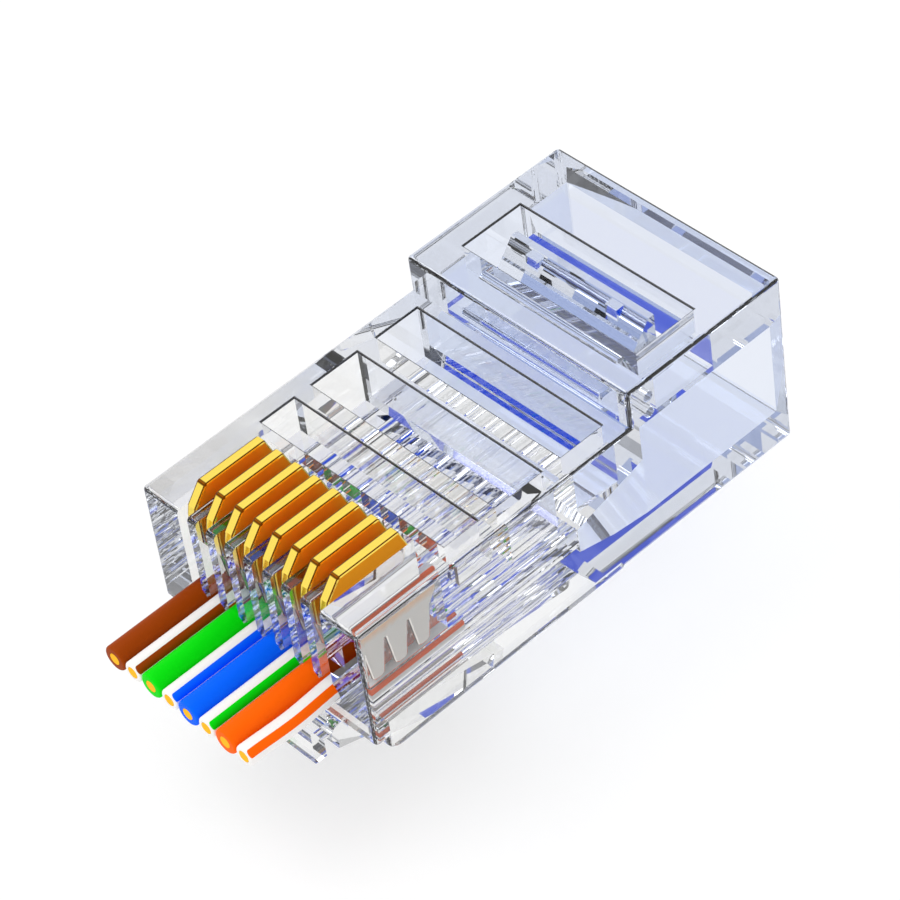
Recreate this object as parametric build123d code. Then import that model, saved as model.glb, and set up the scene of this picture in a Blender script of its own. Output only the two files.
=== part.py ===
from build123d import *
import os

# Pass-through modular plug, eight positions, with its eight conductors fed through.
# Millimetres. X across the plug, Y from the nose back to the cable, Z up to the contact side.
# The origin is the middle of the nose's front face, halfway up the body.

# Body
body_width = 11.68
body_height = 6.60
front_length = 13.60
block_length = 8.10
step_height = 1.70
edge_round = 0.20
rim_round = 0.08

# Nose and the two rails along the underside
nose_lift = 0.80
nose_thickness = 0.90
rail_setback = 0.55
rail_width = 0.70
rail_round = 0.60
rail_length = 12.00
rail_foot = 0.10
recess_floor = 0.48
recess_length = 9.60

# Cable cavity and the funnel that leads the conductors to their channels
cavity_wall = 0.79
cavity_roof = 2.40
cavity_floor = 1.40
cavity_front_wall = 0.70
cavity_front_drop = 1.65
funnel_length = 3.25
funnel_side_wall = 1.60
mouth_chamfer = 0.45

# Windows in the contact side: cored pockets in front, one open window in the block
pocket_width = 9.80
pocket_gap = 0.55
rear_pocket_length = 2.10
middle_pocket_length = 2.30
front_pocket_length = 1.65
middle_pocket_gap = 1.00
front_pocket_gap = 0.90
deep_pocket = 2.55
shallow_pocket = 1.70
window_width = 9.10
window_length = 3.00
window_setback = 1.80

# Contacts
contact_count = 8
contact_pitch = 1.02
contact_thickness = 0.46
contact_length = 4.04
contact_setback = 0.38
contact_rise = 0.80
crown_length = 2.93
crown_setback = 0.75
shoulder_drop = 0.45
shoulder_run = 0.10
prong_count = 3
prong_length = 1.65
prong_tip_width = 0.58
prong_tip_round = 0.25
prong_taper = 0.17
prong_side_draft = 0.35
crown_round = 0.12
slot_clearance = 0.05
slot_end_gap = 0.18
prong_gap = 0.04

# Conductors, the plain colours in thick insulation and the striped ones in thin
wire_depth = 4.30
wire_reach = 4.15
wire_past_contacts = 0.80
thick_insulation = 1.08
thin_insulation = 0.88
conductor_diameter = 0.50
conductor_clearance = 0.01
channel_clearance = 0.04
channel_overrun = 0.35

# Latch: a root under the nose and the lever that flexes on it
latch_width = 6.10
tail_width = 3.25
root_reach = 0.85
root_drop = 0.60
root_thickness = 0.80
toe_thickness = 0.54
toe_height = 0.80
latch_angle = 12.00
lever_length = 13.20
shoulder_place = 7.90
lever_root_thickness = 0.78
shoulder_thickness = 1.25
tail_thickness = 0.95
tip_thickness = 0.80
knuckle_radius = 0.42
knuckle_clearance = 0.03
knuckle_drop = 0.15
lever_corner = 0.60
thumb_lift = 0.35

# Strain relief bar in the block's window
bar_end_gap = 0.95
bar_setback = 0.65
bar_depth = 1.25
bar_slope_start = 0.45
bar_rim_gap = 0.05
bar_shelf = 0.30
web_height = 0.40
web_thickness = 0.25
bead_radius = 0.20
bead_clearance = 0.03
nub_width = 0.60
nub_depth = 0.42
nub_spread = 4.20
nub_setback = 0.50

# Heights and places that follow from the sizes above
overall_length = front_length + block_length
half_width = body_width / 2
contact_face = body_height / 2
rail_bottom = -body_height / 2
nose_bottom = rail_bottom + nose_lift
block_top = contact_face + step_height
block_bottom = rail_bottom + rail_foot
cavity_top = block_top - cavity_roof
cavity_bottom = block_bottom + cavity_floor
cavity_half = half_width - cavity_wall
cavity_front = front_length + cavity_front_wall
wire_z = contact_face - wire_depth
channel_radius = thick_insulation / 2 + channel_clearance
channel_end = cavity_front - funnel_length
recess_ceiling = wire_z - channel_radius - recess_floor
slot_width = contact_thickness + 2 * slot_clearance
prong_tip_z = wire_z + thick_insulation / 2 + prong_gap
slot_length = contact_setback + contact_length + slot_end_gap
wire_end = slot_length + wire_past_contacts
window_front = front_length + window_setback
bar_width = window_width - 2 * bar_end_gap
web_z = cavity_top + web_height
knuckle_y = nose_thickness / 2
knuckle_z = nose_bottom - root_drop - root_thickness - knuckle_drop
contact_x = [(contact_count - 1) * contact_pitch / 2 - i * contact_pitch for i in range(contact_count)]
wire_colours = [
    "white_orange",
    "orange",
    "white_green",
    "blue",
    "white_blue",
    "green",
    "white_brown",
    "brown",
]


def side_face(points):
    """A face in the plane of symmetry, from (along Y, up Z) corner points."""
    return Plane.YZ * make_face(Polyline(*points, close=True))


def across(face, width):
    """The solid of a side face drawn out across the plug, centred on it."""
    return extrude(face, width / 2, both=True)


def block_between(low, high):
    """A box from its lowest to its highest corner."""
    size = [b - a for a, b in zip(low, high)]
    centre = [(a + b) / 2 for a, b in zip(low, high)]
    return Pos(*centre) * Box(*size)


def insulation_diameter(colour):
    return thin_insulation if colour.startswith("white") else thick_insulation


def body_outline():
    """The moulding's outside: nose, stepped back, and the recess the latch folds into."""
    outer_corners = [
        (0, nose_bottom),
        (0, contact_face),
        (front_length, block_top),
        (overall_length, block_top),
        (overall_length, block_bottom),
    ]
    core = across(
        side_face([
            *outer_corners[:2],
            (front_length, contact_face),
            *outer_corners[2:],
            (nose_thickness + recess_length + nose_lift, block_bottom),
            (nose_thickness + recess_length, recess_ceiling),
            (nose_thickness, recess_ceiling),
            (nose_thickness, nose_bottom),
        ]),
        body_width,
    )
    rail_side = side_face([
        (rail_setback, wire_z),
        (rail_setback, rail_bottom),
        (rail_setback + rail_length, rail_bottom),
        (rail_setback + rail_length + rail_foot, block_bottom),
        (rail_setback + rail_length + rail_foot, wire_z),
    ])
    toe_corner = rail_side.vertices().sort_by(Axis.Z).group_by(Axis.Z)[0].sort_by(Axis.Y)[0]
    rail_side = fillet(toe_corner, rail_round)
    outline = core
    for side in (-1, 1):
        outline += Pos(side * (half_width - rail_width / 2), 0, 0) * across(rail_side, rail_width)
    rounded = [edge for edge in outline.edges() if abs(abs(edge.center().X) - half_width) < 0.001]
    for y, z in outer_corners:
        rounded += [edge for edge in outline.edges() if (edge.center() - Vector(0, y, z)).length < 0.001]
    return fillet(rounded, edge_round)


def cable_space():
    """The cable cavity, narrowing in height and width down to the conductor channels."""
    profile = across(
        side_face([
            (overall_length, cavity_top),
            (cavity_front, cavity_top),
            (cavity_front, cavity_top - cavity_front_drop),
            (channel_end, wire_z + channel_radius),
            (channel_end, wire_z - channel_radius),
            (channel_end + funnel_length / 2, cavity_bottom),
            (overall_length, cavity_bottom),
        ]),
        body_width,
    )
    funnel_half = half_width - funnel_side_wall
    plan = make_face(
        Polyline(
            (-funnel_half, channel_end),
            (funnel_half, channel_end),
            (cavity_half, cavity_front),
            (cavity_half, overall_length),
            (-cavity_half, overall_length),
            (-cavity_half, cavity_front),
            close=True,
        )
    )
    return profile & extrude(plan, body_height, both=True)


def mouth_flare():
    """The chamfer round the cavity's mouth, as a wedge-sided plug to take away."""
    def mouth(grow, y):
        width = 2 * (cavity_half + grow)
        height = cavity_top - cavity_bottom + 2 * grow
        middle = (cavity_top + cavity_bottom) / 2
        return Plane((0, y, middle), x_dir=(1, 0, 0), z_dir=(0, 1, 0)) * Rectangle(width, height)

    return loft([mouth(0, overall_length - mouth_chamfer), mouth(mouth_chamfer, overall_length)])


def pockets():
    """Three cored pockets in the contact side, from the step forward."""
    rear_edge = front_length - pocket_gap
    rows = [
        (rear_pocket_length, deep_pocket, middle_pocket_gap),
        (middle_pocket_length, deep_pocket, front_pocket_gap),
        (front_pocket_length, shallow_pocket, 0),
    ]
    cut = []
    for length, depth, gap in rows:
        cut.append(
            block_between(
                (-pocket_width / 2, rear_edge - length, contact_face - depth),
                (pocket_width / 2, rear_edge, contact_face),
            )
        )
        rear_edge -= length + gap
    return cut


def rim_of(solid, low_y, high_y, z):
    """The top edges of a pocket or window that lies between two places along the plug."""
    inside = [edge for edge in solid.edges() if abs(edge.center().Z - z) < 0.001]
    inside = [edge for edge in inside if low_y - 0.001 <= edge.center().Y <= high_y + 0.001]
    return [edge for edge in inside if abs(edge.center().X) <= pocket_width / 2 + 0.001]


def latch_root():
    """The block under the nose that carries the latch, with its toe and the lever's seat."""
    top = nose_bottom - root_drop
    under = top - root_thickness
    root = across(
        side_face([
            (nose_thickness, nose_bottom + edge_round),
            (0, nose_bottom + edge_round),
            (0, top),
            (-root_reach, top),
            (-root_reach, under - toe_height),
            (-root_reach + toe_thickness, under - toe_height),
            (-root_reach + toe_thickness, under),
            (nose_thickness, under),
        ]),
        latch_width,
    )
    return root


def cross_rod(radius, length, y, z):
    """A round rod lying across the plug."""
    return Pos(0, y, z) * Rot(0, 90, 0) * Cylinder(radius, length)


def housing():
    """The clear moulding: one piece, with everything that is cored out of it."""
    solid = body_outline()
    for pocket in pockets():
        solid -= pocket
        box = pocket.bounding_box()
        solid = fillet(rim_of(solid, box.min.Y, box.max.Y, contact_face), rim_round)
    solid -= block_between(
        (-window_width / 2, window_front, cavity_top - edge_round),
        (window_width / 2, window_front + window_length, block_top),
    )
    solid = fillet(rim_of(solid, window_front, window_front + window_length, block_top), rim_round)
    solid += latch_root()
    solid -= cable_space()
    solid -= mouth_flare()
    solid -= cross_rod(bead_radius + bead_clearance, bar_width + 2 * bead_clearance, window_front, web_z)
    channel_face = Plane.XZ * Circle(channel_radius)
    for x in contact_x:
        solid -= Pos(x, 0, wire_z) * extrude(channel_face, -(channel_end + channel_overrun))
        solid -= block_between(
            (x - slot_width / 2, 0, wire_z),
            (x + slot_width / 2, slot_length, contact_face),
        )
    solid -= cross_rod(knuckle_radius + knuckle_clearance, latch_width, knuckle_y, knuckle_z)
    return solid


def contact_blade():
    """One stamped contact: flat crown, sloped shoulders and three piercing prongs."""
    front = contact_setback
    rear = front + contact_length
    crown = contact_face + contact_rise
    crown_start = front + crown_setback
    tip = prong_tip_z
    valley = tip + prong_length
    prong_pitch = (contact_length - 2 * prong_side_draft) / prong_count
    outline = make_face(
        Polyline(
            (front, contact_face - shoulder_drop),
            (front + shoulder_run, contact_face),
            (crown_start, crown),
            (crown_start + crown_length, crown),
            (rear, contact_face - shoulder_drop / 3),
            (rear, valley + prong_length / 3),
            (rear - prong_side_draft, valley),
            (front + prong_side_draft, valley),
            (front, valley + prong_length / 3),
            close=True,
        )
    )
    outline = fillet(outline.vertices().sort_by(Axis.Y)[-2:], crown_round)
    for i in range(prong_count):
        middle = front + prong_side_draft + (i + 0.5) * prong_pitch
        root_half = prong_pitch / 2
        tip_half = prong_tip_width / 2
        prong = make_face(
            Polyline(
                (middle - root_half, valley + prong_taper),
                (middle - tip_half, tip),
                (middle + tip_half, tip),
                (middle + root_half, valley + prong_taper),
                close=True,
            )
        )
        prong = fillet(prong.vertices().sort_by(Axis.Y)[:2], prong_tip_round)
        outline += prong
    return across(Plane.YZ * outline, contact_thickness)


def insulation(colour):
    """The plastic sleeve of one conductor, straight through its channel and cut square."""
    length = wire_reach + wire_end
    sleeve = Circle(insulation_diameter(colour) / 2)
    bore = Circle(conductor_diameter / 2 + conductor_clearance)
    return Plane((0, -wire_reach, wire_z), z_dir=(0, 1, 0)) * extrude(sleeve - bore, length)


def conductor():
    """The solid copper core of one conductor, cut flush with its sleeve."""
    length = wire_reach + wire_end
    core = Circle(conductor_diameter / 2)
    return Plane((0, -wire_reach, wire_z), z_dir=(0, 1, 0)) * extrude(core, length)


def latch_lever():
    """The latch: wide to its locking shoulders, then a narrow tail with a lifted thumb end."""
    side = make_face(
        Polyline(
            (0, 0),
            (lever_length - knuckle_radius, 0),
            (lever_length, thumb_lift),
            (lever_length, thumb_lift - tip_thickness),
            (shoulder_place + lever_corner, -tail_thickness),
            (shoulder_place, -shoulder_thickness),
            (shoulder_place / 2, -shoulder_thickness),
            (0, -lever_root_thickness),
            close=True,
        )
    )
    plan = make_face(
        Polyline(
            (-latch_width / 2, 0),
            (latch_width / 2, 0),
            (latch_width / 2, shoulder_place),
            (tail_width / 2, shoulder_place),
            (tail_width / 2, lever_length),
            (-tail_width / 2, lever_length),
            (-tail_width / 2, shoulder_place),
            (-latch_width / 2, shoulder_place),
            close=True,
        )
    )
    inner = plan.vertices().group_by(Axis.Y)[1].sort_by(Axis.X)[1:3]
    plan = fillet(inner, lever_corner / 2)
    plan = fillet(plan.vertices().group_by(Axis.Y)[-1], lever_corner)
    lever = across(Plane.YZ * side, latch_width) & extrude(plan, 2 * shoulder_thickness, both=True)
    lever += Rot(0, 90, 0) * Cylinder(knuckle_radius, latch_width)
    return Pos(0, knuckle_y, knuckle_z) * Rot(-latch_angle, 0, 0) * lever


def strain_relief_bar():
    """The bar that is pressed into the cable jacket: a sloped wedge on a thin web, with two nubs."""
    front = window_front + bar_setback
    rear = front + bar_depth
    top = block_top - bar_rim_gap
    bottom = web_z - web_thickness / 2
    slope_end = rear - bar_shelf
    slope_z = bottom + (top - bottom) * bar_slope_start
    wedge = across(
        side_face([
            (front, bottom),
            (front, slope_z),
            (slope_end, top),
            (rear, top),
            (rear, bottom),
        ]),
        bar_width,
    )
    web = block_between(
        (-bar_width / 2, window_front, bottom),
        (bar_width / 2, front + bar_shelf, bottom + web_thickness),
    )
    bar = wedge + web + cross_rod(bead_radius, bar_width, window_front, web_z)
    for side in (-1, 1):
        bar += block_between(
            (side * nub_spread / 2 - nub_width / 2, front + nub_setback, slope_z - nub_depth / 2),
            (side * nub_spread / 2 + nub_width / 2, front + nub_setback + nub_depth, top),
        )
    return bar


os.makedirs("parts", exist_ok=True)

export_step(housing(), "parts/housing.step")
export_step(latch_lever(), "parts/latch_lever.step")
export_step(strain_relief_bar(), "parts/strain_relief_bar.step")
blade = contact_blade()
core_wire = conductor()
for number, (x, colour) in enumerate(zip(contact_x, wire_colours), start=1):
    export_step(Pos(x, 0, 0) * blade, f"parts/contact_{number}.step")
    export_step(Pos(x, 0, 0) * insulation(colour), f"parts/insulation_{colour}.step")
    export_step(Pos(x, 0, 0) * core_wire, f"parts/conductor_{colour}.step")
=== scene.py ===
import math

import bmesh
import bpy
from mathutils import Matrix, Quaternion, Vector


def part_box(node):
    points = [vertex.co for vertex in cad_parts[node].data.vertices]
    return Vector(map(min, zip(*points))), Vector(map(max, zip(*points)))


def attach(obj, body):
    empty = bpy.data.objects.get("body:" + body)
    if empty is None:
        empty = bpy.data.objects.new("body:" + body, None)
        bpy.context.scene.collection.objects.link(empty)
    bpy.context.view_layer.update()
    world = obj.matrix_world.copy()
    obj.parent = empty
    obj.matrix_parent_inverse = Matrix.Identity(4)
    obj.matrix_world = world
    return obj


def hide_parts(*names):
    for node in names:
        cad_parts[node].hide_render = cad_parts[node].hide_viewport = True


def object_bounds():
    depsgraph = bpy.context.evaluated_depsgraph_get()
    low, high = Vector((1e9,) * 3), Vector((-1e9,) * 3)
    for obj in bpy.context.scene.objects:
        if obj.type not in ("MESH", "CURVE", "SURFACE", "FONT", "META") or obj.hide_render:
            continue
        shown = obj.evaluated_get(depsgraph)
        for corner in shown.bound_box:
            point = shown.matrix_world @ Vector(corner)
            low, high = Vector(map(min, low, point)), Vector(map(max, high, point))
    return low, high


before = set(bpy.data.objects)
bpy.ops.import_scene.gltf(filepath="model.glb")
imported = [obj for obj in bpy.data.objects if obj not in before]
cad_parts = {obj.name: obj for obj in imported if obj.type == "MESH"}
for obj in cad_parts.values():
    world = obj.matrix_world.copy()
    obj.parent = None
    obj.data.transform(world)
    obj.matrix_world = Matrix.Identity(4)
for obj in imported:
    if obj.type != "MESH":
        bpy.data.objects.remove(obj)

cad_low, cad_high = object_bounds()

# The housing is one injection moulding in clear polycarbonate: nose with the contact comb, conductor
# channels, cored pockets and the cable cavity. Its steel mould was polished, so every face is smooth and
# glassy, and the eye reads it by what it bends: pale panels, and dark lines where its edges are rounded.
# Those dark lines are painted shade: the faces of the edge rounds carry a near-black tint in the plastic.
MM = 0.001
polycarbonate_ior = 1.585
polycarbonate_roughness = 0.01
flow_wave_length = 6.0 * MM
flow_wave_height = 0.0007 * MM
cast_per_metre = 20.0
cast_deepens = 4.0 * MM
step_height = 1.70 * MM
step_place = 13.60 * MM
edge_round = 0.20 * MM
rim_round = 0.08 * MM
shade_slant_at_edges = 0.60
shade_slant_at_rims = 0.15
weld_gap = 0.001 * MM
nose_tint = "#FBFBFA"
block_tint = "#E8EDF8"
rim_shade_colour = "#0A0B0E"
shadow_tint = "#F3F5FA"
depth_tint = "#5A6478"


def linear(hex_colour):
    """The linear colour of an sRGB hex value such as "#FFB020"."""
    parts = [int(hex_colour[i : i + 2], 16) / 255 for i in (1, 3, 5)]
    return [p / 12.92 if p <= 0.04045 else ((p + 0.055) / 1.055) ** 2.4 for p in parts] + [1.0]


def add_node(tree, kind, settings=None, **links):
    """A new node with its settings; links give an input's value, or the output socket that feeds it."""
    node = tree.nodes.new(kind)
    for name, value in (settings or {}).items():
        setattr(node, name, value)
    for name, value in links.items():
        key = int(name[1:]) if name[1:].isdigit() else name.replace("_", " ")
        socket = node.inputs[key]
        if isinstance(value, bpy.types.NodeSocket):
            tree.links.new(value, socket)
        else:
            socket.default_value = value
    return node


def new_material(name):
    """An empty node material and its output node."""
    made = bpy.data.materials.new(name)
    made.use_nodes = True
    made.node_tree.nodes.clear()
    return made, made.node_tree, made.node_tree.nodes.new("ShaderNodeOutputMaterial")


def polished_polycarbonate():
    """Clear polycarbonate with faint flow waves from the mould; its edge rounds carry painted shade as
    dark lines.
    """
    made, tree, output = new_material("polished_polycarbonate")
    place = add_node(tree, "ShaderNodeTexCoord")
    waves = add_node(
        tree, "ShaderNodeTexNoise", Vector=place.outputs["Object"], Scale=1 / flow_wave_length, Detail=1.0
    )
    bump = add_node(
        tree, "ShaderNodeBump", Strength=1.0, Distance=flow_wave_height, Height=waves.outputs["Fac"]
    )
    seam = add_node(tree, "ShaderNodeAttribute", {"attribute_name": "seam"})
    along = add_node(tree, "ShaderNodeSeparateXYZ", Vector=place.outputs["Object"])
    thicker = add_node(
        tree, "ShaderNodeMapRange", Value=along.outputs["Y"],
        From_Min=step_place - cast_deepens, From_Max=step_place,
    )
    clear = add_node(
        tree, "ShaderNodeMix", {"data_type": "RGBA"},
        _0=thicker.outputs["Result"], _6=linear(nose_tint), _7=linear(block_tint),
    )
    # Painted shade: the marked edge rounds are tinted near black, so they read as dark lines.
    tint = add_node(
        tree, "ShaderNodeMix", {"data_type": "RGBA"},
        _0=seam.outputs["Fac"], _6=clear.outputs[2], _7=linear(rim_shade_colour),
    )
    plastic = add_node(
        tree,
        "ShaderNodeBsdfPrincipled",
        Base_Color=tint.outputs[2],
        Roughness=polycarbonate_roughness,
        IOR=polycarbonate_ior,
        Transmission_Weight=1.0,
        Normal=bump.outputs["Normal"],
    )
    path = add_node(tree, "ShaderNodeLightPath")
    passed = add_node(tree, "ShaderNodeBsdfTransparent", Color=linear(shadow_tint))
    lit = add_node(
        tree, "ShaderNodeMixShader",
        _0=path.outputs["Is Shadow Ray"], _1=plastic.outputs["BSDF"], _2=passed.outputs["BSDF"],
    )
    cast = add_node(tree, "ShaderNodeVolumeAbsorption", Color=linear(depth_tint), Density=cast_per_metre)
    tree.links.new(lit.outputs["Shader"], output.inputs["Surface"])
    tree.links.new(cast.outputs["Volume"], output.inputs["Volume"])
    return made


def welded_copy(node):
    """A copy of a node's mesh as an editable shape, with its loose triangles joined up."""
    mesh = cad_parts[node].data.copy()
    shape = bmesh.new()
    shape.from_mesh(mesh)
    bmesh.ops.remove_doubles(shape, verts=shape.verts, dist=weld_gap)
    return mesh, shape


def rim_shaded_moulding():
    """The housing's own shape, with the rounds of its outer edges and pocket rims marked for painted
    shade.
    """
    low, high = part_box("housing")
    contact_face = high.z - step_height
    mesh, shape = welded_copy("housing")
    seam = shape.faces.layers.float.new("seam")
    for face in shape.faces:
        face.smooth = False
        place = face.calc_center_median()
        slant = sorted(abs(part) for part in face.normal)[1]
        across_edge = high.x - abs(place.x) < edge_round
        along_edge = min(abs(place.y), abs(place.y - step_place)) < edge_round
        on_top = min(abs(place.z - z) for z in (contact_face, high.z)) < rim_round
        # The faces marked here carry painted shade.
        if across_edge or along_edge:
            face[seam] = slant > shade_slant_at_edges
        else:
            face[seam] = on_top and slant > shade_slant_at_rims
    shape.to_mesh(mesh)
    shape.free()
    return mesh


def dress(piece, material):
    """Gives a mesh one finish all over."""
    piece.data.materials.clear()
    piece.data.materials.append(material)


def new_piece(name, mesh, material):
    """A finished mesh as a piece of the object, at its own place."""
    mesh.name = name
    piece = bpy.data.objects.new(name, mesh)
    bpy.context.collection.objects.link(piece)
    dress(piece, material)
    return piece


clear_plastic = polished_polycarbonate()
moulding = new_piece("moulding", rim_shaded_moulding(), clear_plastic)
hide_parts("housing")
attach(moulding, "housing")

# The strain relief bar and the latch lever come out of the same mould, in the same clear plastic. Each
# hangs on a thin web that works as its hinge.
dress(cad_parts["strain_relief_bar"], clear_plastic)
dress(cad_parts["latch_lever"], clear_plastic)

# The eight contacts are blades stamped from phosphor bronze strip and plated with gold over nickel. The
# press leaves a rounded edge all round each blade, which shows as a dark line beside the bright crown.
# That dark line and a dark band at the crown's front bend are painted shade in the plating's colour, and
# the broad sides carry a deeper gold as painted shade from the neighbouring blades.
contact_count = 8
pressed_edge = 0.07 * MM
same_face = math.radians(2)
sharp_rim = math.radians(60)
bend_width = 0.11 * MM
bend_core = 0.6
edge_segments = 2
flat_side = 0.99
flat_edge = 0.05
half_turned = math.cos(math.radians(45))
grain_size = 0.25 * MM
gold_starts = 2.5 * MM
gold_ends = 1.7 * MM
finest_polish = 0.12
coarsest_polish = 0.20
crown_gold = "#FFE264"
shaded_side_gold = "#FFB42A"
bare_nickel = "#F4F1EC"
edge_shade_brown = "#6A3A08"
side_dullness = 0.54


def gold_plate(bend):
    """Gold on the crown, with painted shade at its front bend and rounded edges, and bare nickel lower
    down; broad sides are duller, in a deeper gold that is painted shade.
    """
    made, tree, output = new_material("gold_over_nickel")
    place = add_node(tree, "ShaderNodeTexCoord")
    grain = add_node(
        tree, "ShaderNodeTexNoise", Vector=place.outputs["Object"], Scale=1 / grain_size, Detail=3.0
    )
    broad = add_node(tree, "ShaderNodeAttribute", {"attribute_name": "broad"})
    pressed = add_node(tree, "ShaderNodeAttribute", {"attribute_name": "pressed"})
    # Painted shade: the broad sides take a deeper gold than the crown.
    deeper = add_node(
        tree, "ShaderNodeMix", {"data_type": "RGBA"},
        _0=broad.outputs["Fac"], _6=linear(crown_gold), _7=linear(shaded_side_gold),
    )
    height = add_node(tree, "ShaderNodeSeparateXYZ", Vector=place.outputs["Object"])
    wavering = add_node(
        tree, "ShaderNodeMath", {"operation": "MULTIPLY_ADD"},
        _0=grain.outputs["Fac"], _1=grain_size, _2=height.outputs["Z"],
    )
    gilded = add_node(
        tree, "ShaderNodeMapRange", Value=wavering.outputs[0], From_Min=gold_ends, From_Max=gold_starts
    )
    plating = add_node(
        tree, "ShaderNodeMix", {"data_type": "RGBA"},
        _0=gilded.outputs["Result"], _6=linear(bare_nickel), _7=deeper.outputs[2],
    )
    sidelong = add_node(
        tree, "ShaderNodeVectorMath", {"operation": "MULTIPLY"}, _0=place.outputs["Object"]
    )
    sidelong.inputs[1].default_value = (0, 1, 1)
    from_bend = add_node(
        tree, "ShaderNodeVectorMath", {"operation": "DISTANCE"},
        _0=sidelong.outputs["Vector"], _1=(0, *bend),
    )
    # Painted shade: a dark band along the crown's front bend.
    bend_shade = add_node(
        tree, "ShaderNodeMapRange", Value=from_bend.outputs["Value"],
        From_Min=bend_core * bend_width, From_Max=bend_width, To_Min=1.0, To_Max=0.0,
    )
    rounded = add_node(
        tree, "ShaderNodeMath", {"operation": "MAXIMUM"},
        _0=pressed.outputs["Fac"], _1=bend_shade.outputs["Result"],
    )
    # Painted shade: the rounded edges and the front bend are tinted dark brown.
    edged = add_node(
        tree, "ShaderNodeMix", {"data_type": "RGBA"},
        _0=rounded.outputs[0], _6=plating.outputs[2], _7=linear(edge_shade_brown),
    )
    sheen = add_node(
        tree, "ShaderNodeMapRange", Value=grain.outputs["Fac"],
        To_Min=finest_polish, To_Max=coarsest_polish,
    )
    dull = add_node(
        tree, "ShaderNodeMath", {"operation": "MULTIPLY_ADD"},
        _0=broad.outputs["Fac"], _1=side_dullness, _2=sheen.outputs["Result"],
    )
    metal = add_node(
        tree,
        "ShaderNodeBsdfPrincipled",
        Base_Color=edged.outputs[2],
        Metallic=1.0,
        Roughness=dull.outputs[0],
    )
    tree.links.new(metal.outputs["BSDF"], output.inputs["Surface"])
    return made


def stamped_blade(node):
    """The blade of a contact node with its pressed edges rounded, its broad sides marked, and its edges
    marked for painted shade.
    """
    mesh, shape = welded_copy(node)
    bmesh.ops.dissolve_limit(shape, angle_limit=same_face, verts=shape.verts, edges=shape.edges)
    bmesh.ops.recalc_face_normals(shape, faces=shape.faces)
    rims = [e for e in shape.edges if len(e.link_faces) == 2 and e.calc_face_angle() > sharp_rim]
    bmesh.ops.bevel(
        shape, geom=rims, offset=pressed_edge, segments=edge_segments, profile=0.5, affect="EDGES",
        clamp_overlap=False,
    )
    broad = shape.faces.layers.float.new("broad")
    pressed = shape.faces.layers.float.new("pressed")
    for face in shape.faces:
        face.smooth = False
        sideways = abs(face.normal.x)
        face[broad] = sideways > flat_side
        face[pressed] = flat_edge < sideways < half_turned
    shape.to_mesh(mesh)
    shape.free()
    return mesh


def front_bend(node):
    """Where a blade's crown bends down to its front slope, seen from the side."""
    points = [vert.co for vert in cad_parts[node].data.vertices]
    crown = max(point.z for point in points)
    return min(point.y for point in points if crown - point.z < bend_width / 4), crown


gold = gold_plate(front_bend("contact_1"))
for number in range(1, contact_count + 1):
    node = f"contact_{number}"
    blade = new_piece(f"blade_{number}", stamped_blade(node), gold)
    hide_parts(node)
    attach(blade, node)

# The conductors are solid copper drawn to 0.5 mm, each in an extruded polyethylene sleeve with a satin
# look. The plain colours are thick sleeves. Their white partners are thinner and carry one printed stripe
# along the upper right, and the outermost one bows a little to the side before it enters the plug.
sleeve_sides = 48
sleeve_stations = 24
bore_clearance = 0.01 * MM
cut_round = 0.09 * MM
stripe_turn = math.radians(47)
stripe_half_width = math.radians(24)
bow_length = 4.4 * MM
bow_side = 0.09 * MM
rim_steps = 3
near_end = 0.499
crease = math.radians(35)
polyethylene_ior = 1.51
polyethylene_gloss = 0.06
# The streaks and the cutter marks are finer on the real wires, and are drawn coarse enough to show.
streak_width = 0.12 * MM
streak_stretch = 0.08
streak_dullest = 0.56
streak_shiniest = 0.42
print_dullness = 0.48
cutter_mark = 0.08 * MM
cut_dullest = 0.65
cut_shiniest = 0.45
cut_metallic = 0.3
cut_gloss = 0.1
sleeve_white = "#F3F0EE"
bright_copper = "#FFBE00"
paints = {"orange": "#FF6400", "green": "#00DC0A", "blue": "#0064FF", "brown": "#963C00"}


def moulded_colour(name, colour):
    """Extruded polyethylene in one colour: satin, with fine streaks along the draw."""
    made, tree, output = new_material(name)
    place = add_node(tree, "ShaderNodeTexCoord")
    stretched = add_node(
        tree, "ShaderNodeMapping", Vector=place.outputs["Object"], Scale=(1.0, streak_stretch, 1.0)
    )
    streaks = add_node(
        tree, "ShaderNodeTexNoise", Vector=stretched.outputs["Vector"], Scale=1 / streak_width, Detail=2.0
    )
    gloss = add_node(
        tree, "ShaderNodeMapRange", Value=streaks.outputs["Fac"],
        To_Min=streak_shiniest, To_Max=streak_dullest,
    )
    plastic = add_node(
        tree,
        "ShaderNodeBsdfPrincipled",
        Base_Color=linear(colour),
        Roughness=gloss.outputs["Result"],
        IOR=polyethylene_ior,
        Specular_IOR_Level=polyethylene_gloss,
    )
    tree.links.new(plastic.outputs["BSDF"], output.inputs["Surface"])
    return made


def striped_white(name, colour):
    """The white sleeve with its printed stripe, which follows the sleeve round any bend."""
    made, tree, output = new_material(name)
    facing = add_node(tree, "ShaderNodeAttribute", {"attribute_name": "facing"})
    inside = add_node(
        tree, "ShaderNodeMath", {"operation": "GREATER_THAN"},
        _0=facing.outputs["Fac"], _1=math.cos(stripe_half_width),
    )
    paint = add_node(
        tree, "ShaderNodeMix", {"data_type": "RGBA"},
        _0=inside.outputs[0], _6=linear(sleeve_white), _7=linear(colour),
    )
    plastic = add_node(
        tree,
        "ShaderNodeBsdfPrincipled",
        Base_Color=paint.outputs[2],
        Roughness=print_dullness,
        IOR=polyethylene_ior,
        Specular_IOR_Level=polyethylene_gloss,
    )
    tree.links.new(plastic.outputs["BSDF"], output.inputs["Surface"])
    return made


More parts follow.
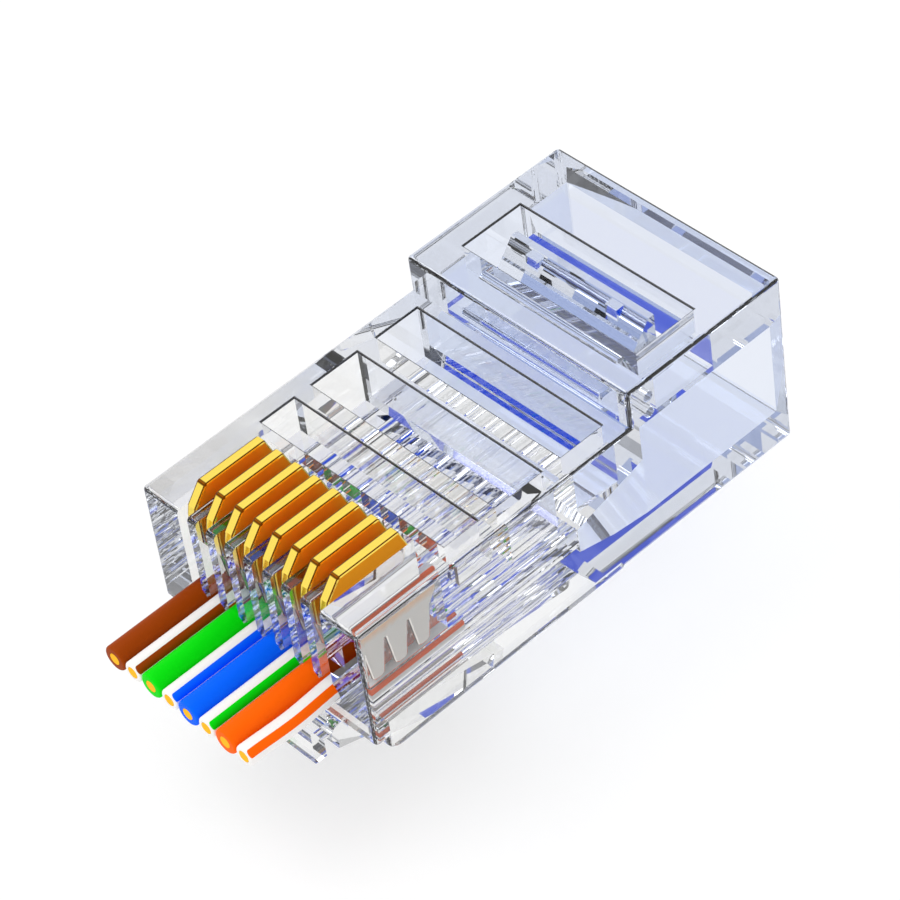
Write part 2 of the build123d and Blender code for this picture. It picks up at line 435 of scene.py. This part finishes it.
def cut_copper():
    """Solid copper cut square with flush cutters: a warm yellow-orange disc with fine cutter marks."""
    made, tree, output = new_material("cut_copper")
    place = add_node(tree, "ShaderNodeTexCoord")
    marks = add_node(
        tree, "ShaderNodeTexNoise", Vector=place.outputs["Object"], Scale=1 / cutter_mark, Detail=2.0
    )
    dull = add_node(
        tree, "ShaderNodeMapRange", Value=marks.outputs["Fac"], To_Min=cut_shiniest, To_Max=cut_dullest
    )
    metal = add_node(
        tree,
        "ShaderNodeBsdfPrincipled",
        Base_Color=linear(bright_copper),
        Metallic=cut_metallic,
        Roughness=dull.outputs["Result"],
        Specular_IOR_Level=cut_gloss,
    )
    tree.links.new(metal.outputs["BSDF"], output.inputs["Surface"])
    return made


def wire_nodes():
    """Geometry Nodes for a sleeve or a core: a wall section turned about its axis, bowed and laid down."""
    tree = bpy.data.node_groups.new("drawn_wire", "GeometryNodeTree")
    for name, kind in (
        ("Middle", "NodeSocketVector"),
        ("Length", "NodeSocketFloat"),
        ("Outer Radius", "NodeSocketFloat"),
        ("Inner Radius", "NodeSocketFloat"),
        ("Cut Round", "NodeSocketFloat"),
        ("Sides", "NodeSocketInt"),
        ("Stations", "NodeSocketInt"),
        ("Stripe Turn", "NodeSocketFloat"),
        ("Bow", "NodeSocketFloat"),
        ("Bow Length", "NodeSocketFloat"),
        ("Material", "NodeSocketMaterial"),
    ):
        tree.interface.new_socket(name, in_out="INPUT", socket_type=kind)
    tree.interface.new_socket("Geometry", in_out="OUTPUT", socket_type="NodeSocketGeometry")
    given = add_node(tree, "NodeGroupInput").outputs

    def maths(operation, a, b=0.0):
        return add_node(tree, "ShaderNodeMath", {"operation": operation}, _0=a, _1=b).outputs[0]

    def place_of_points():
        here = add_node(tree, "GeometryNodeInputPosition")
        return add_node(tree, "ShaderNodeSeparateXYZ", Vector=here.outputs["Position"]).outputs

    # The wall section, with stations along its two long edges and its outer rims rounded at both cut ends.
    section = add_node(
        tree, "GeometryNodeCurvePrimitiveQuadrilateral",
        Width=maths("SUBTRACT", given["Outer Radius"], given["Inner Radius"]), Height=given["Length"],
    )
    corner = add_node(tree, "GeometryNodeInputIndex").outputs["Index"]
    long_edge = maths("MULTIPLY", maths("MODULO", corner, 2.0), given["Stations"])
    divided = add_node(tree, "GeometryNodeSubdivideCurve", Curve=section.outputs["Curve"], Cuts=long_edge)
    on_section = place_of_points()
    outer = maths("GREATER_THAN", on_section["X"], 0.0)
    end_line = maths("MULTIPLY", given["Length"], near_end)
    at_end = maths("GREATER_THAN", maths("ABSOLUTE", on_section["Y"]), end_line)
    rim = maths("MULTIPLY", maths("MULTIPLY", outer, at_end), given["Cut Round"])
    softened = add_node(
        tree, "GeometryNodeFilletCurve", {"mode": "POLY"},
        Curve=divided.outputs["Curve"], Count=rim_steps, Radius=rim,
    )
    ring = add_node(
        tree, "GeometryNodeCurvePrimitiveCircle", Resolution=given["Sides"],
        Radius=maths("MULTIPLY", maths("ADD", given["Outer Radius"], given["Inner Radius"]), 0.5),
    )
    turned = add_node(
        tree, "GeometryNodeCurveToMesh",
        Curve=ring.outputs["Curve"], Profile_Curve=softened.outputs["Curve"],
    )
    welded = add_node(
        tree, "GeometryNodeMergeByDistance", Geometry=turned.outputs["Mesh"], Distance=weld_gap
    )

    # How far round each point lies from the stripe's middle, as a cosine, while the wire is straight.
    standing = place_of_points()
    across = maths("MULTIPLY", standing["X"], maths("SINE", given["Stripe Turn"]))
    upward = maths("MULTIPLY", standing["Y"], maths("COSINE", given["Stripe Turn"]))
    printed = add_node(
        tree, "GeometryNodeStoreNamedAttribute", {"data_type": "FLOAT", "domain": "POINT"},
        Geometry=welded.outputs["Geometry"], Name="facing",
        Value=maths("DIVIDE", maths("ADD", across, upward), given["Outer Radius"]),
    )

    # The bow starts and ends straight, so it is a squared sine from the cut end on.
    from_cut = maths("SUBTRACT", maths("MULTIPLY", given["Length"], 0.5), standing["Z"])
    share = maths("MINIMUM", maths("DIVIDE", from_cut, given["Bow Length"]), 1.0)
    swing = maths("POWER", maths("SINE", maths("MULTIPLY", share, math.pi)), 2.0)
    shift = add_node(tree, "ShaderNodeCombineXYZ", X=maths("MULTIPLY", swing, given["Bow"]))
    bowed = add_node(
        tree, "GeometryNodeSetPosition",
        Geometry=printed.outputs["Geometry"], Offset=shift.outputs["Vector"],
    )
    laid = add_node(
        tree, "GeometryNodeTransform", Geometry=bowed.outputs["Geometry"],
        Translation=given["Middle"], Rotation=(math.radians(90), 0, 0),
    )
    soft = add_node(
        tree, "GeometryNodeSetShadeSmooth", Geometry=laid.outputs["Geometry"], Shade_Smooth=True
    )
    fold = add_node(tree, "GeometryNodeInputMeshEdgeAngle").outputs["Unsigned Angle"]
    creased = add_node(
        tree, "GeometryNodeSetShadeSmooth", {"domain": "EDGE"}, Geometry=soft.outputs["Geometry"],
        Selection=maths("GREATER_THAN", fold, crease), Shade_Smooth=False,
    )
    whole = add_node(tree, "GeometryNodeRealizeInstances", Geometry=creased.outputs["Geometry"])
    finished = add_node(
        tree, "GeometryNodeSetMaterial", Geometry=whole.outputs["Geometry"], Material=given["Material"]
    )
    add_node(tree, "NodeGroupOutput", Geometry=finished.outputs["Geometry"])
    return tree


def drawn(tree, **inputs):
    """The mesh that a Geometry Nodes tree makes; its inputs are given by name, with underscores."""
    blank = bpy.data.objects.new("blank", bpy.data.meshes.new("blank"))
    bpy.context.collection.objects.link(blank)
    maker = blank.modifiers.new("maker", "NODES")
    maker.node_group = tree
    for socket in tree.interface.items_tree:
        if socket.in_out == "INPUT":
            maker[socket.identifier] = inputs[socket.name.replace(" ", "_").lower()]
    made = blank.evaluated_get(bpy.context.evaluated_depsgraph_get())
    mesh = bpy.data.meshes.new_from_object(made)
    bpy.data.objects.remove(blank)
    return mesh


wire = wire_nodes()
copper = cut_copper()
for colour, paint in paints.items():
    for striped in (False, True):
        name = f"white_{colour}" if striped else colour
        low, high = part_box(f"insulation_{name}")
        core_low, core_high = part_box(f"conductor_{name}")
        core_radius = (core_high.x - core_low.x) / 2
        finish = striped_white if striped else moulded_colour
        shared = {
            "middle": (low + high) / 2,
            "length": high.y - low.y,
            "sides": sleeve_sides,
            "stations": sleeve_stations,
            "stripe_turn": stripe_turn,
            "bow": bow_side if name == "white_orange" else 0.0,
            "bow_length": bow_length,
        }
        for part, node, outer, inner, rounding, material, slot in (
            (
                f"sleeve_{name}", f"insulation_{name}", (high.x - low.x) / 2, core_radius + bore_clearance,
                cut_round, finish(f"sleeve_{name}", paint),
                "insulation_white" if striped else f"insulation_{colour}",
            ),
            (f"core_{name}", f"conductor_{name}", core_radius, 0.0, 0.0, copper, "copper"),
        ):
            mesh = drawn(
                wire, outer_radius=outer, inner_radius=inner, cut_round=rounding, material=material,
                **shared,
            )
            piece = new_piece(part, mesh, material)
            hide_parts(node)
            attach(piece, "housing")

# The plug is shown over a plain white table in even studio light. The surroundings are white wherever
# metal mirrors them. The clear plastic shows three panels high up in them, as a studio's far walls: cold
# blue behind on the left, slate on the right and pale blue in front. Low down they lie in shade.
table_size = 4.0
table_gap = 0.05 * MM
table_paleness = 0.65
mirrored_paleness = 0.85
light_strength = 0.9
key_size = 0.25
key_distance = 0.40
key_power = 0.6
key_side = Vector((-0.4, -0.3, 1.0))
panel_side = 0.567
panel_depth = 0.434
panel_rise = 0.70
panels = (
    ((-panel_side, panel_depth, panel_rise), "#9FB7F0", "#0046E0"),
    ((panel_side, panel_depth, panel_rise), "#8A90A0", "#2E3340"),
    ((-panel_side, -panel_depth, panel_rise), "#DAE1F3", "#B4C2E6"),
)
panel_starts = 0.80
panel_full = 0.95
horizon_top = 0.30
horizon_shade = "#3A3D44"
board_white = "#FCFCFC"

table_mesh = bpy.data.meshes.new("table_top")
half = table_size / 2
table_mesh.from_pydata(
    [(-half, -half, 0), (half, -half, 0), (half, half, 0), (-half, half, 0)], [], [(0, 1, 2, 3)]
)
table_top = bpy.data.objects.new("table_top", table_mesh)
table_top.location.z = cad_low.z - table_gap
bpy.context.collection.objects.link(table_top)

white_table, tree, output = new_material("white_table")
path = add_node(tree, "ShaderNodeLightPath")
shown = add_node(
    tree, "ShaderNodeMath", {"operation": "MAXIMUM"},
    _0=path.outputs["Is Glossy Ray"], _1=path.outputs["Is Transmission Ray"],
)
straight = add_node(
    tree, "ShaderNodeMath", {"operation": "MULTIPLY"}, _0=path.outputs["Is Camera Ray"], _1=table_paleness
)
paleness = add_node(
    tree, "ShaderNodeMath", {"operation": "MULTIPLY_ADD"},
    _0=shown.outputs[0], _1=mirrored_paleness, _2=straight.outputs[0],
)
board = add_node(tree, "ShaderNodeBsdfDiffuse", Color=linear(board_white))
white = add_node(tree, "ShaderNodeEmission", Color=linear("#FFFFFF"), Strength=1.0)
pale = add_node(
    tree, "ShaderNodeMixShader",
    _0=paleness.outputs[0], _1=board.outputs["BSDF"], _2=white.outputs["Emission"],
)
tree.links.new(pale.outputs["Shader"], output.inputs["Surface"])
table_mesh.materials.append(white_table)

world = bpy.data.worlds.new("studio")
bpy.context.scene.world = world
world.use_nodes = True
tree = world.node_tree
tree.nodes.clear()
path = add_node(tree, "ShaderNodeLightPath")
lit = add_node(tree, "ShaderNodeBackground", Color=linear("#FFFFFF"), Strength=light_strength)
shown = add_node(tree, "ShaderNodeBackground", Color=linear("#FFFFFF"), Strength=1.0)
way = add_node(tree, "ShaderNodeTexCoord")
rise = add_node(tree, "ShaderNodeSeparateXYZ", Vector=way.outputs["Generated"])
above = add_node(tree, "ShaderNodeMapRange", Value=rise.outputs["Z"], From_Min=0.0, From_Max=horizon_top)
painted = add_node(
    tree, "ShaderNodeMix", {"data_type": "RGBA"},
    _0=above.outputs["Result"], _6=linear(horizon_shade), _7=linear("#FFFFFF"),
)
for direction, part_way, full in panels:
    towards = add_node(
        tree, "ShaderNodeVectorMath", {"operation": "DOT_PRODUCT"},
        _0=way.outputs["Generated"], _1=direction,
    )
    share = add_node(
        tree, "ShaderNodeMapRange", Value=towards.outputs["Value"],
        From_Min=panel_starts, From_Max=panel_full,
    )
    panel = add_node(tree, "ShaderNodeValToRGB", Fac=share.outputs["Result"])
    panel.color_ramp.elements[0].color = linear("#FFFFFF")
    panel.color_ramp.elements[1].color = linear(full)
    panel.color_ramp.elements.new(0.5).color = linear(part_way)
    painted = add_node(
        tree, "ShaderNodeMix", {"data_type": "RGBA", "blend_type": "MULTIPLY"},
        _0=1.0, _6=painted.outputs[2], _7=panel.outputs["Color"],
    )
through = add_node(tree, "ShaderNodeBackground", Color=painted.outputs[2], Strength=1.0)
seen = add_node(
    tree, "ShaderNodeMath", {"operation": "MAXIMUM"},
    _0=path.outputs["Is Camera Ray"], _1=path.outputs["Is Glossy Ray"],
)
opaque = add_node(
    tree, "ShaderNodeMixShader",
    _0=seen.outputs[0], _1=lit.outputs["Background"], _2=shown.outputs["Background"],
)
either = add_node(
    tree, "ShaderNodeMixShader",
    _0=path.outputs["Is Transmission Ray"], _1=opaque.outputs["Shader"], _2=through.outputs["Background"],
)
add_node(tree, "ShaderNodeOutputWorld", Surface=either.outputs["Shader"])

key = bpy.data.lights.new("key_softbox", "AREA")
key.shape = "SQUARE"
key.size = key_size
key.energy = key_power
key_lamp = bpy.data.objects.new("key_softbox", key)
centre = (cad_low + cad_high) / 2
key_lamp.location = centre + key_side.normalized() * key_distance
key_lamp.rotation_mode = "QUATERNION"
key_lamp.rotation_quaternion = (key_lamp.location - centre).to_track_quat("Z", "Y")
bpy.context.collection.objects.link(key_lamp)

# The camera looks from the nose's right, from above, through a long lens. Light inside the clear plastic
# is mirrored many times before it comes out, so more of those turns are followed than usual.
mirrored_bounces = 12
camera_azimuth = math.radians(52.56)
camera_elevation = math.radians(44.39)
camera_roll = math.radians(-8.91)
camera_distance = 154.55 * MM
camera_target = Vector((-0.531, 10.197, 0.709)) * MM
camera_lens = 166.2
sensor_width = 36.0
nearest_shown = 0.005
furthest_shown = 10.0

camera_data = bpy.data.cameras.new("camera")
camera_data.lens = camera_lens
camera_data.sensor_width = sensor_width
camera_data.clip_start = nearest_shown
camera_data.clip_end = furthest_shown
camera = bpy.data.objects.new("camera", camera_data)
back = Vector((
    math.sin(camera_azimuth) * math.cos(camera_elevation),
    -math.cos(camera_azimuth) * math.cos(camera_elevation),
    math.sin(camera_elevation),
))
camera.location = camera_target + back * camera_distance
camera.rotation_mode = "QUATERNION"
camera.rotation_quaternion = back.to_track_quat("Z", "Y") @ Quaternion((0, 0, 1), camera_roll)
bpy.context.collection.objects.link(camera)
bpy.context.scene.camera = camera
bpy.context.scene.view_settings.view_transform = "Standard"
bpy.context.scene.cycles.glossy_bounces = mirrored_bounces
